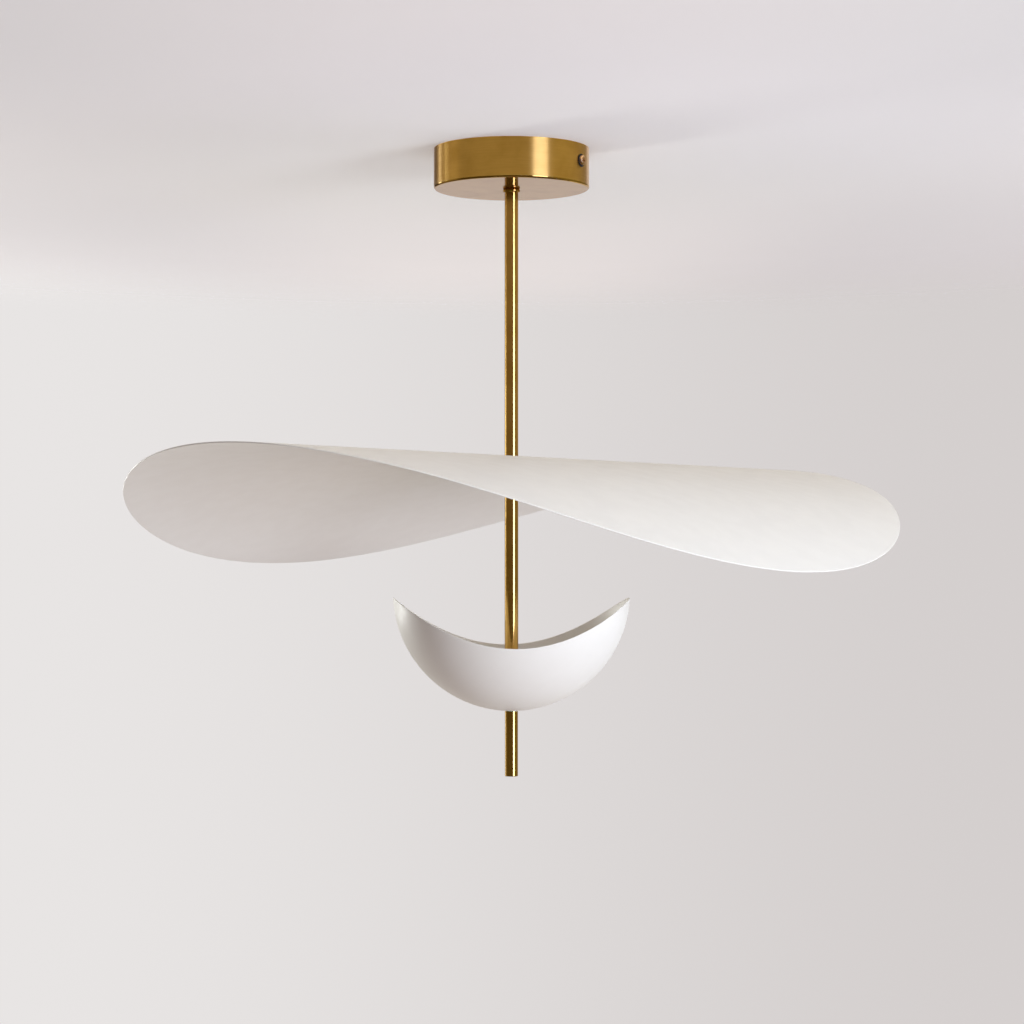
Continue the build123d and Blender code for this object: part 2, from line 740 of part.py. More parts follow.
parts = {
    "mounting_strap": make_strap(),
    "canopy": make_canopy(),
    "canopy_screws": make_side_screws(),
    "canopy_screw_washers": make_side_washers(),
    "earth_screw": make_earth_screw(),
    "earth_lug": make_earth_lug(),
    "earth_wire": make_earth_wire(),
    "mounting_pads": make_pads(),
    "driver_case": make_driver_case(),
    "driver_lid": make_driver_lid(),
    "driver_board": make_driver_board(),
    "driver_live_wire": make_live_wire(),
    "driver_neutral_wire": make_neutral_wire(),
    "terminal_block": make_block(),
    "terminal_inserts": make_inserts(),
    "terminal_clamp_screws": make_clamps(),
    "led_lead": make_led_lead(),
    "top_nipple": nipple(collar_bottom_z - nipple_grip, nipple_top_z),
    "lock_washer": make_lock_washer(),
    "canopy_nut": make_nut(),
    "canopy_collar": make_collar(),
    "upper_tube": pipe(tube_d / 2, thread_hole_r, upper_bottom_z, collar_bottom_z),
    "reflector_nipple": nipple(middle_top_z - nipple_grip, upper_bottom_z + nipple_grip),
    "reflector_washers": washer_pair(upper_bottom_z, friction_washer_d, middle_top_z),
    "reflector": make_reflector(),
    "middle_tube": pipe(tube_d / 2, thread_hole_r, hub_top_z, middle_top_z),
    "hub_nipple": nipple(hub_top_z - nipple_grip, hub_top_z + nipple_grip),
    "light_hub": make_hub(),
    "light_carrier": drilled_disc(carrier_r, flange_top_z, carrier_top_z),
    "light_board": drilled_disc(board_r, carrier_top_z, board_top_z),
    "light_chips": make_chips(),
    "light_board_screws": make_board_screws(),
    "board_connector": make_connector(),
    "opal_cover": make_cover(),
    "bowl_washers": washer_pair(hub_bottom_z, inner_washer_d, tail_top_z),
    "bowl": make_bowl(),
    "tail_nipple": nipple(tail_top_z - nipple_grip, hub_bottom_z + hub_tail_grip - loose_gap),
    "tail_tube": make_tail(),
    "tail_plug": rod(nipple_d / 2, tail_bottom_z + tail_edge_r, tail_bottom_z + tail_plug_t),
}

os.makedirs("parts", exist_ok=True)
for name, body in parts.items():
    export_step(body, f"parts/{name}.step")
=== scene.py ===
"""Ceiling pendant light: brass canopy and rod, rolled white reflector and saddle-cut bowl."""
import logging
import math
from abc import ABC, abstractmethod
from dataclasses import dataclass
from enum import Enum
from functools import cache
from typing import Iterable, Sequence

import bmesh
import bpy
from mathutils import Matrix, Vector


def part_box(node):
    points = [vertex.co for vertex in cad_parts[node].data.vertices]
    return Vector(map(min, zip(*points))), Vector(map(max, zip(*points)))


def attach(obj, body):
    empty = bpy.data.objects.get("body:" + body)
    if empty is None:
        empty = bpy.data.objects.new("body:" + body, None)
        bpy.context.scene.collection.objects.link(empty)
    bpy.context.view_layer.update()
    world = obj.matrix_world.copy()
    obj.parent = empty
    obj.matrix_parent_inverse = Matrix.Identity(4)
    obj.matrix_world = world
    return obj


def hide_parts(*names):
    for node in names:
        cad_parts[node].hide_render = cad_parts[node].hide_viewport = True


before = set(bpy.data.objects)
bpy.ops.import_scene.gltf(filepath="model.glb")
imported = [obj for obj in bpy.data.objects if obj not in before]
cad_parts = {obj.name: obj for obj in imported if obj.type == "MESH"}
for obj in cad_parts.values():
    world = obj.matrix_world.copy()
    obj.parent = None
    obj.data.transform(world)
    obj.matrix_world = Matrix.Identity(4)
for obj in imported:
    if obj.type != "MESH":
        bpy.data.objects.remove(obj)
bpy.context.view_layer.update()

LOG = logging.getLogger("pendant_light")

MM = 0.001
CAMERA_TURN = 27.8  # direction of the camera around the rod, in degrees from -Y towards +X
EDGE_STEPS = 4  # steps in which the edges of the two shells are rounded
LEVEL_RISE = 1e-6  # a rim that rises by less than this is taken as level, in millimetres

Colour = tuple[float, float, float]
Point = tuple[float, float, float]
Socket = bpy.types.NodeSocket
Inputs = dict[int | str, object]

BLACK: Colour = (0.0, 0.0, 0.0)


class Brushing(Enum):
    """Which way the fine lines of a metal run."""

    AROUND = "around the axis, as left by turning"
    ALONG = "along the axis, as left by drawing"


class Body(Enum):
    """The rigid bodies that pieces ride on."""

    FIXED = "ceiling_frame"
    REFLECTOR = "reflector_body"
    BOWL = "bowl_body"


def heading(direction: float, elevation: float = 0.0) -> Vector:
    """Direction away from the rod.

    Args:
        direction: Degrees to the right of the camera, as the light sees it.
        elevation: Degrees above level.

    Returns:
        The direction, one long.
    """
    angle, rise = math.radians(CAMERA_TURN + direction), math.radians(elevation)
    return Vector((math.sin(angle) * math.cos(rise), -math.cos(angle) * math.cos(rise), math.sin(rise)))


def added(name: str, data: bpy.types.ID) -> bpy.types.Object:
    """Add an object to the scene, by its name and its mesh, lamp or camera."""
    new = bpy.data.objects.new(name, data)
    bpy.context.scene.collection.objects.link(new)
    return new


class Sketch:
    """Places and joins the nodes of one shader tree."""

    def __init__(self, tree: bpy.types.NodeTree) -> None:
        """Start on the tree that the nodes go into."""
        self.tree = tree

    def put(self, node: bpy.types.Node, inputs: Inputs) -> None:
        """Link or set inputs of a node.

        Args:
            node: The node.
            inputs: A socket to link, or a value to set, by each input's index or name.
        """
        for key, value in inputs.items():
            target = node.inputs[key]
            if isinstance(value, Socket):
                self.tree.links.new(value, target)
            else:
                target.default_value = (*value, 1.0) if target.type == "RGBA" else value

    def add(self, kind: str, inputs: Inputs, output: int | str = 0, **settings: object) -> Socket:
        """Add a node.

        Args:
            kind: The node's type name, without the common beginning.
            inputs: What goes into the node, by each input's index or name.
            output: Index or name of the wanted output.
            **settings: Properties of the node by name.

        Returns:
            The wanted output.
        """
        node = self.tree.nodes.new("ShaderNode" + kind)
        for name, value in settings.items():
            setattr(node, name, value)
        self.put(node, inputs)
        return node.outputs[output]

    def group(self, tree: bpy.types.NodeTree, *values: object) -> Sequence[Socket]:
        """Add a node group with a value for each of its inputs."""
        return self.add("Group", dict(enumerate(values)), node_tree=tree).node.outputs

    def maths(self, operation: str, *values: object, clamp: bool = False) -> Socket:
        """Calculate with one to three sockets or numbers."""
        return self.add("Math", dict(enumerate(values)), operation=operation, use_clamp=clamp)

    def span(self, value: Socket, low: float, high: float,
             to_low: object = 0.0, to_high: object = 1.0) -> Socket:
        """Map the range from low to high smoothly onto another."""
        inputs = dict(enumerate((value, low, high, to_low, to_high)))
        return self.add("MapRange", inputs, interpolation_type="SMOOTHSTEP")

    def blend(self, share: object, first: object, second: object, kind: str = "MIX") -> Socket:
        """Mix two colours by the share of the second."""
        return self.add("Mix", {0: share, 6: first, 7: second}, 2, data_type="RGBA", blend_type=kind)

    def mixed(self, share: Socket, first: Socket, second: Socket) -> Socket:
        """Mix two shaders by the share of the second."""
        return self.add("MixShader", {0: share, 1: first, 2: second})

    def along(self, vector: Socket, direction: Vector) -> Socket:
        """How far a vector points along a direction."""
        return self.add("VectorMath", {0: vector, 1: direction}, "Value", operation="DOT_PRODUCT")

    def parts(self, vector: Socket) -> Sequence[Socket]:
        """The X, Y and Z of a vector."""
        return self.add("SeparateXYZ", {0: vector}).node.outputs

    def noise(self, vector: Socket, scale: object, detail: float) -> Socket:
        """Noise from 0 to 1, by its cells for each unit of the vector and its number of finer layers."""
        inputs = {"Vector": vector, "Scale": scale, "Detail": detail}
        return self.add("TexNoise", inputs, "Fac", noise_dimensions="3D")

    def bump(self, height: Socket, depth: float) -> Socket:
        """Normal with a relief, where a height of 1 measures the depth in metres."""
        return self.add("Bump", {"Distance": depth, "Height": height}, "Normal")

    def place(self) -> Socket:
        """The point on the object, in metres."""
        return self.add("TexCoord", {}, "Object")

    def facing_up(self) -> Socket:
        """How far the surface faces up, -1 to 1."""
        return self.parts(self.add("NewGeometry", {}, "Normal"))[2]


class Effects:
    """Shader node groups that more than one material uses, each built once."""

    @staticmethod
    def start(name: str, inputs: Sequence[str], outputs: Sequence[str]
              ) -> tuple[Sketch, Sequence[Socket], bpy.types.Node]:
        """Begin a group with named sockets.

        Args:
            name: The group's name.
            inputs: The inputs' names.
            outputs: The outputs' names.

        Returns:
            The sketch of the group, what is given to it, and its output node.
        """
        tree = bpy.data.node_groups.new(name, "ShaderNodeTree")
        for labels, side in ((inputs, "INPUT"), (outputs, "OUTPUT")):
            for label in labels:
                tree.interface.new_socket(name=label, in_out=side, socket_type="NodeSocketFloat")
        return Sketch(tree), tree.nodes.new("NodeGroupInput").outputs, tree.nodes.new("NodeGroupOutput")

    @staticmethod
    @cache
    def fine_grain() -> bpy.types.NodeTree:
        """Even grain, as on moulded plastic, cast metal or sprayed paint."""
        sketch, given, out = Effects.start("fine_grain", ["Grain Size"], ["Height", "Patches"])
        fineness = sketch.maths("DIVIDE", 1.0, given["Grain Size"])
        wide = sketch.maths("MULTIPLY", fineness, 0.04)
        place = sketch.place()
        patches = sketch.span(sketch.noise(place, wide, 3.0), 0.3, 0.7)
        sketch.put(out, {"Height": sketch.noise(place, fineness, 2.0), "Patches": patches})
        return sketch.tree

    @staticmethod
    @cache
    def fine_lines(brushing: Brushing) -> bpy.types.NodeTree:
        """Fine lines around or along the axis of the rod.

        Args:
            brushing: Which way the lines run.

        Returns:
            The group.
        """
        name = "lines_" + brushing.name.lower()
        sketch, given, out = Effects.start(name, ["Spacing", "Breaks"], ["Lines"])
        east, north, up = sketch.parts(sketch.place())
        if brushing is Brushing.AROUND:
            squares = [sketch.maths("MULTIPLY", part, part) for part in (east, north)]
            reach = sketch.maths("SQRT", sketch.maths("ADD", *squares))
            near = sketch.maths("MAXIMUM", reach, 0.1 * MM)
            turned = [sketch.maths("DIVIDE", part, near) for part in (east, north)]
            read = [sketch.maths("MULTIPLY", part, given["Breaks"]) for part in turned]
            read.append(sketch.maths("DIVIDE", sketch.maths("ADD", up, reach), given["Spacing"]))
        else:
            fineness = sketch.maths("DIVIDE", 1.0, given["Spacing"])
            read = [sketch.maths("MULTIPLY", part, fineness) for part in (east, north)]
            read.append(sketch.maths("MULTIPLY", up, given["Breaks"]))
        joined = sketch.add("CombineXYZ", dict(enumerate(read)))
        sketch.put(out, {"Lines": sketch.noise(joined, 1.0, 3.0)})
        return sketch.tree

    @staticmethod
    @cache
    def smudges() -> bpy.types.NodeTree:
        """Soft uneven patches, as left by handling and wiping."""
        sketch, given, out = Effects.start("smudges", ["Patch Size", "Cover"], ["Mask"])
        cloud = sketch.noise(sketch.place(), sketch.maths("DIVIDE", 1.0, given["Patch Size"]), 4.0)
        edge = sketch.maths("MULTIPLY", sketch.maths("SUBTRACT", 1.0, given["Cover"]), 0.5)
        sketch.put(out, {"Mask": sketch.maths("SUBTRACT", cloud, edge, clamp=True)})
        return sketch.tree

    @staticmethod
    @cache
    def settled_dust() -> bpy.types.NodeTree:
        """Thin dust on faces that look up."""
        sketch, given, out = Effects.start("settled_dust", ["Amount"], ["Mask"])
        upward = sketch.span(sketch.facing_up(), 0.6, 1.0)
        cloud = sketch.span(sketch.noise(sketch.place(), 90.0, 5.0), 0.35, 0.75)
        mask = sketch.maths("MULTIPLY", upward, cloud)
        sketch.put(out, {"Mask": sketch.maths("MULTIPLY", mask, given["Amount"])})
        return sketch.tree


@dataclass(frozen=True)
class Finish(ABC):
    """A surface finish, made into one material when it is first used.

    Attributes:
        name: The material's name.
        colour: Main colour in linear light.
        roughness: Mean roughness.
    """

    name: str
    colour: Colour
    roughness: float

    @cache
    def material(self) -> bpy.types.Material:
        """The finish's material, built on first use."""
        material = bpy.data.materials.new(self.name + "_finish")
        material.use_nodes = True
        sketch = Sketch(material.node_tree)
        plain = {"Base Color": self.colour, "Roughness": self.roughness}
        sketch.put(material.node_tree.nodes["Principled BSDF"], {**plain, **self.draw(sketch)})
        material.diffuse_color = (*self.colour, 1.0)
        return material

    @abstractmethod
    def draw(self, sketch: Sketch) -> Inputs:
        """Draw the finish's nodes.

        Args:
            sketch: Sketch of the material.

        Returns:
            What goes into the shader, by each input's name.
        """

    def uneven(self, sketch: Sketch, value: Socket, swing: float,
               low: float = 0.0, high: float = 1.0) -> Socket:
        """Roughness that follows a value from low to high and swings by a share of its mean."""
        return sketch.span(value, low, high, self.roughness * (1 - swing), self.roughness * (1 + swing))


@dataclass(frozen=True)
class Brass(Finish):
    """Lacquered brass with fine lines, slight tarnish and handling marks.

    Attributes:
        tarnish: Colour of the older patches.
        brushing: Which way the fine lines run.
        line_spacing: Distance between lines, in metres.
        line_depth: Depth of the lines, in metres.
        breaks: How often a line stops and starts.
        spread: How far the lines stretch highlights, 0 to 1.
        flat_roughness: Roughness of faces that look down.
        edge_tint: Tint of reflections at a glancing angle.
        lacquer: How much clear lacquer shows, 0 to 1.
        lacquer_roughness: Roughness of the lacquer.
        smudge_size: Width of the handling marks, in metres.
        smudge_roughness: How much rougher the handling marks are.
    """

    tarnish: Colour
    brushing: Brushing
    line_spacing: float
    line_depth: float
    breaks: float
    spread: float
    flat_roughness: float
    edge_tint: Colour = (0.75, 0.72, 0.84)
    lacquer: float = 0.3
    lacquer_roughness: float = 0.2
    smudge_size: float = 20 * MM
    smudge_roughness: float = 0.04

    def draw(self, sketch: Sketch) -> Inputs:
        """Draw tarnish in the colour, and lines and smudges in the roughness and normal."""
        lines = sketch.group(Effects.fine_lines(self.brushing), self.line_spacing, self.breaks)[0]
        smudges = sketch.group(Effects.smudges(), self.smudge_size, 0.7)[0]
        aged = sketch.blend(sketch.span(smudges, 0.2, 0.7), self.colour, self.tarnish)
        lined = sketch.blend(sketch.span(lines, 0.35, 0.75, 0.0, 0.25), aged, self.tarnish)
        downward = sketch.maths("MULTIPLY", sketch.facing_up(), -1.0)
        rough = self.uneven(sketch, lines, 0.15, 0.2, 0.8)
        turned = sketch.span(downward, 0.02, 0.16, rough, self.flat_roughness)
        return {
            "Metallic": 1.0, "Anisotropic": self.spread, "Anisotropic Rotation": 0.25,
            "Specular Tint": self.edge_tint, "Coat Weight": self.lacquer,
            "Coat Roughness": self.lacquer_roughness, "Base Color": lined,
            "Roughness": sketch.maths("MULTIPLY_ADD", smudges, self.smudge_roughness, turned),
            "Normal": sketch.bump(lines, self.line_depth),
        }


@dataclass(frozen=True)
class Grained(Finish):
    """Finish with an even grain.

    Attributes:
        shade: Second colour, of the patches, the grain or the sides.
        grain_size: Width of the grain, in metres.
        grain_depth: Depth of the grain, in metres.
    """

    shade: Colour
    grain_size: float
    grain_depth: float

    def grain(self, sketch: Sketch) -> tuple[Socket, Socket, Socket]:
        """The grain's height, its wider patches, and the normal with its relief."""
        height, patches = sketch.group(Effects.fine_grain(), self.grain_size)
        return height, patches, sketch.bump(height, self.grain_depth)


@dataclass(frozen=True)
class PowderCoat(Grained):
    """Matte sprayed paint with a fine orange-peel relief, faint patches and a little dust on top.

    Attributes:
        dust_amount: How much the dust covers, 0 to 1.
        dust_roughness: How much rougher the dust is.
    """

    dust_amount: float = 0.25
    dust_roughness: float = 0.2

    def draw(self, sketch: Sketch) -> Inputs:
        """Draw the relief, patches and dust."""
        _, patches, relief = self.grain(sketch)
        dust = sketch.group(Effects.settled_dust(), self.dust_amount)[0]
        patched = sketch.blend(sketch.maths("MULTIPLY", patches, 0.35), self.colour, self.shade)
        rough = sketch.maths("MULTIPLY_ADD", dust, self.dust_roughness, self.uneven(sketch, patches, 0.08))
        return {"Base Color": sketch.blend(dust, patched, self.shade), "Roughness": rough, "Normal": relief}


@dataclass(frozen=True)
class SheetMetal(Grained):
    """Plain or plated metal with a fine grain and duller patches."""

    def draw(self, sketch: Sketch) -> Inputs:
        """Draw the grain and the duller patches."""
        _, patches, relief = self.grain(sketch)
        mottled = sketch.blend(patches, self.colour, self.shade)
        return {"Metallic": 1.0, "Base Color": mottled, "Roughness": self.uneven(sketch, patches, 0.2),
                "Normal": relief}


@dataclass(frozen=True)
class Moulded(Grained):
    """Moulded plastic, rubber or foam with an even grain.

    Attributes:
        glow_through: How far light spreads inside, 0 to 1.
        smudge_size: Width of the handling marks, in metres.
        smudge_roughness: How much rougher the handling marks are.
    """

    glow_through: float = 0.0
    smudge_size: float = 15 * MM
    smudge_roughness: float = 0.12

    def draw(self, sketch: Sketch) -> Inputs:
        """Draw the grain in the colour and normal, and smudges in the roughness."""
        height, _, relief = self.grain(sketch)
        smudges = sketch.group(Effects.smudges(), self.smudge_size, 0.5)[0]
        return {
            "Subsurface Weight": self.glow_through, "Subsurface Scale": 2 * MM,
            "Base Color": sketch.blend(sketch.span(height, 0.35, 0.75, 0.0, 0.6), self.colour, self.shade),
            "Roughness": sketch.maths("MULTIPLY_ADD", smudges, self.smudge_roughness, self.roughness),
            "Normal": relief,
        }


@dataclass(frozen=True)
class Chip(Grained):
    """Light chip: yellow phosphor on top, and a frame in the shade around it."""

    def draw(self, sketch: Sketch) -> Inputs:
        """Draw the phosphor on the faces that look up, and the frame on the sides."""
        upward = sketch.span(sketch.facing_up(), 0.4, 0.7)
        return {"Base Color": sketch.blend(upward, self.shade, self.colour), "Normal": self.grain(sketch)[2]}


@dataclass(frozen=True)
class CircuitBoard(Finish):
    """Board under its solder mask, with copper tracks that show faintly through it.

    Attributes:
        track: Colour of the mask over a track.
        track_pitch: Distance between tracks, in metres.
        track_height: Height of a track, in metres.
        grain_size: Width of the mask's grain, in metres.
    """

    track: Colour
    track_pitch: float
    track_height: float = 0.03 * MM
    grain_size: float = 0.6 * MM

    def draw(self, sketch: Sketch) -> Inputs:
        """Draw the tracks as square cells with narrow gaps."""
        cells = {"Vector": sketch.place(), "Scale": 1 / self.track_pitch}
        distance = sketch.add("TexVoronoi", cells, "Distance", distance="CHEBYCHEV", feature="DISTANCE_TO_EDGE")
        tracks = sketch.span(distance, 0.04, 0.09)
        patches = sketch.group(Effects.fine_grain(), self.grain_size)[1]
        masked = sketch.blend(tracks, self.colour, self.track)
        return {"Base Color": masked, "Roughness": self.uneven(sketch, patches, 0.2),
                "Normal": sketch.bump(tracks, self.track_height)}


BRASS_CLEAN = (0.80, 0.50, 0.135)
BRASS_AGED = (0.66, 0.385, 0.085)

SATIN_BRASS = Brass("satin_brass", BRASS_CLEAN, 0.34, BRASS_AGED, Brushing.AROUND,
                    1.0 * MM, 0.006 * MM, 3.0, 1.0, 0.05)
POLISHED_BRASS = Brass("polished_brass", BRASS_CLEAN, 0.12, BRASS_AGED, Brushing.ALONG,
                       1.2 * MM, 0.0003 * MM, 12.0, 0.8, 0.12)
SCREW_BRASS = Brass("screw_brass", (0.86, 0.56, 0.36), 0.28, (0.70, 0.42, 0.24), Brushing.AROUND,
                    0.6 * MM, 0.01 * MM, 8.0, 0.0, 0.28)
TERMINAL_BRASS = Brass("terminal_brass", (0.78, 0.58, 0.26), 0.30, (0.62, 0.42, 0.16), Brushing.ALONG,
                       0.5 * MM, 0.01 * MM, 20.0, 0.0, 0.30)
WHITE_PAINT = PowderCoat("white_paint", (0.83, 0.82, 0.80), 0.52, (0.80, 0.787, 0.763), 0.6 * MM, 0.006 * MM)
ZINC_STEEL = SheetMetal("zinc_steel", (0.62, 0.63, 0.65), 0.34, (0.50, 0.51, 0.54), 0.8 * MM, 0.015 * MM)
TINNED_COPPER = SheetMetal("tinned_copper", (0.70, 0.69, 0.67), 0.28, (0.58, 0.55, 0.52), 0.5 * MM, 0.01 * MM)
ALUMINIUM = SheetMetal("aluminium_plate", (0.76, 0.77, 0.78), 0.32, (0.64, 0.65, 0.67), 0.6 * MM, 0.012 * MM)
BLACK_RUBBER = Moulded("black_rubber", (0.018, 0.017, 0.016), 0.62, (0.010, 0.010, 0.010), 0.5 * MM, 0.03 * MM)
FOAM = Moulded("foam_pad", (0.045, 0.045, 0.048), 0.85, (0.020, 0.020, 0.022), 0.4 * MM, 0.15 * MM)
NYLON = Moulded("white_nylon", (0.78, 0.76, 0.70), 0.40, (0.72, 0.69, 0.62), 0.5 * MM, 0.01 * MM, 0.2)
DRIVER_PLASTIC = Moulded("driver_plastic", (0.78, 0.78, 0.75), 0.45, (0.70, 0.70, 0.67), 0.6 * MM, 0.03 * MM)
TERMINAL_PLASTIC = Moulded("terminal_plastic", (0.76, 0.75, 0.68), 0.38, (0.70, 0.68, 0.60),
                           0.5 * MM, 0.02 * MM, 0.15)
SHEATH = Moulded("lead_sheath", (0.74, 0.74, 0.72), 0.42, (0.66, 0.66, 0.64), 0.7 * MM, 0.02 * MM)
BROWN_WIRE = Moulded("brown_wire", (0.10, 0.035, 0.014), 0.40, (0.07, 0.024, 0.010), 0.7 * MM, 0.02 * MM)
BLUE_WIRE = Moulded("blue_wire", (0.012, 0.060, 0.40), 0.40, (0.010, 0.045, 0.30), 0.7 * MM, 0.02 * MM)
GREEN_WIRE = Moulded("earth_wire", (0.055, 0.30, 0.03), 0.40, (0.60, 0.52, 0.02), 2.6 * MM, 0.01 * MM)
OPAL = Moulded("opal_plastic", (0.84, 0.84, 0.82), 0.30, (0.81, 0.81, 0.79), 1.2 * MM, 0.01 * MM, 0.6)
GREEN_BOARD = CircuitBoard("circuit_board", (0.010, 0.085, 0.022), 0.35, (0.018, 0.14, 0.035), 3.0 * MM)
WHITE_BOARD = CircuitBoard("white_board", (0.74, 0.74, 0.71), 0.32, (0.80, 0.80, 0.78), 4.0 * MM)
PHOSPHOR = Chip("chip_yellow", (0.84, 0.60, 0.045), 0.25, (0.78, 0.78, 0.74), 0.3 * MM, 0.03 * MM)


def skinned(name: str, rings: Sequence[Sequence[Point]], sharp_angle: float) -> bpy.types.Object:
    """Join rings of points into a closed, smooth skin, the last ring back to the first.

    Args:
        name: The piece's name.
        rings: Closed rings of equally many points each.
        sharp_angle: Corners sharper than this stay crisp, in degrees.

    Returns:
        The new object, linked to the scene.
    """
    count = len(rings[0])
    faces = []
    for ring in range(len(rings)):
        here, after = ring * count, (ring + 1) % len(rings) * count
        for step in range(count):
            beside = (step + 1) % count
            faces.append((here + step, here + beside, after + beside, after + step))
    mesh = bpy.data.meshes.new(name)
    mesh.from_pydata([point for ring in rings for point in ring], [], faces)
    skin = bmesh.new()
    skin.from_mesh(mesh)
    bmesh.ops.recalc_face_normals(skin, faces=skin.faces)
    skin.to_mesh(mesh)
    skin.free()
    mesh.polygons.foreach_set("use_smooth", [True] * len(mesh.polygons))
    mesh.set_sharp_from_angle(angle=math.radians(sharp_angle))
    return added(name, mesh)


def rounding(radius: float) -> list[tuple[float, float]]:
    """Round a right-angled edge.

    Args:
        radius: Radius of the edge.

    Returns:
        Points from the face to the rim, as how far each stands back from the rim and from the face.
    """
    points = []
    for step in range(EDGE_STEPS + 1):
        angle = math.pi / 2 * step / EDGE_STEPS
        points.append((radius * (1 - math.sin(angle)), radius * (1 - math.cos(angle))))
    return points


def dress(finish: Finish, *nodes: str) -> None:
    """Give carried-over solids their finish.

    Args:
        finish: The finish that they get.
        *nodes: The solids' names.
    """
    for node in nodes:
        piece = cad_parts[node]
        piece.data.materials.clear()
        piece.data.materials.append(finish.material())
        LOG.info("dressed %s in %s", node, finish.name)


def stand_in(piece: bpy.types.Object, node: str, body: Body, finish: Finish) -> None:
    """Put a modelled piece in the place of a solid.

    Args:
        piece: The modelled piece.
        node: The solid that it stands for.
        body: The body that it rides on.
        finish: Its finish.
    """
    piece.data.materials.append(finish.material())
    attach(piece, body.value)
    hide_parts(node)
    LOG.info("modelled %s in place of %s, %d faces", piece.name, node, len(piece.data.polygons))


@dataclass
class Canopy:
    """Brass cup against the ceiling with its side screws and the bead under it."""

    def build(self) -> None:
        """Dress the cup, bead, screws and washers."""
        dress(SATIN_BRASS, "canopy")
        dress(POLISHED_BRASS, "canopy_collar")
        dress(SCREW_BRASS, "canopy_screws")
        dress(BLACK_RUBBER, "canopy_screw_washers")


@dataclass
class Rod:
    """Brass tubes from the canopy to the tail, and the threaded nipples that join them.

    Lengths are in metres.

    Attributes:
        tubes: Solids of the brass tubes.
        fittings: Solids of the plated fittings.
        nipples: Solids of the threaded nipples, each with the name of its modelled piece.
        pitch: Rise of the thread in one turn.
        thread_depth: Depth of the thread.
        bore_radius: Radius of the bore.
        chamfer: Bevel at each end.
        rows: Rows of points in one turn of the thread.
        segments: Points around each row.
        flank: Steepness of the thread's flanks, where 1 leaves no flat on the crests.
    """

    tubes: tuple[str, ...] = ("upper_tube", "middle_tube", "tail_tube", "tail_plug")
    fittings: tuple[str, ...] = ("lock_washer", "canopy_nut")
    nipples: tuple[tuple[str, str], ...] = (
        ("top_nipple", "top_thread"), ("reflector_nipple", "reflector_thread"),
        ("hub_nipple", "hub_thread"), ("tail_nipple", "tail_thread"),
    )
    pitch: float = 1.0 * MM
    thread_depth: float = 0.55 * MM
    bore_radius: float = 2.8 * MM
    chamfer: float = 0.4 * MM
    rows: int = 8
    segments: int = 48
    flank: float = 1.15

    def build(self) -> None:
        """Dress the tubes and fittings, and cut the threads."""
        dress(POLISHED_BRASS, *self.tubes)
        dress(ZINC_STEEL, *self.fittings)
        for node, name in self.nipples:
            stand_in(self.nipple(node, name), node, Body.FIXED, ZINC_STEEL)

    def nipple(self, node: str, name: str) -> bpy.types.Object:
        """Model one hollow nipple with its thread.

        Args:
            node: The solid that it stands for.
            name: The piece's name.

        Returns:
            The new piece.
        """
        low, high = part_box(node)
        radius = (high.x - low.x) / 2
        count = round((high.z - low.z) / self.pitch * self.rows)
        outside = []
        for row in range(count + 1):
            height = low.z + (high.z - low.z) * row / count
            end = min(height - low.z, high.z - height)
            outside.append(self.ring(height, radius, radius - self.chamfer + end))
        inside = [self.ring(height, self.bore_radius, self.bore_radius) for height in (high.z, low.z)]
        return skinned(name, outside + inside, sharp_angle=70)

    def ring(self, height: float, radius: float, limit: float) -> list[Point]:
        """Make one level ring of points, on the thread or in the bore.

        Args:
            height: Height of the ring.
            radius: Radius over the thread's crest, or of the bore.
            limit: Radius that the ring stays within.

        Returns:
            The points.
        """
        points = []
        for step in range(self.segments):
            share = step / self.segments
            angle = 2 * math.pi * share
            phase = (height / self.pitch - share) % 1.0
            crest = min(1.0, self.flank * (1 - abs(2 * phase - 1)))
            cut = 0.0 if radius == self.bore_radius else self.thread_depth * (1 - crest)
            reach = min(radius - cut, limit)
            points.append((reach * math.cos(angle), reach * math.sin(angle), height))
        return points


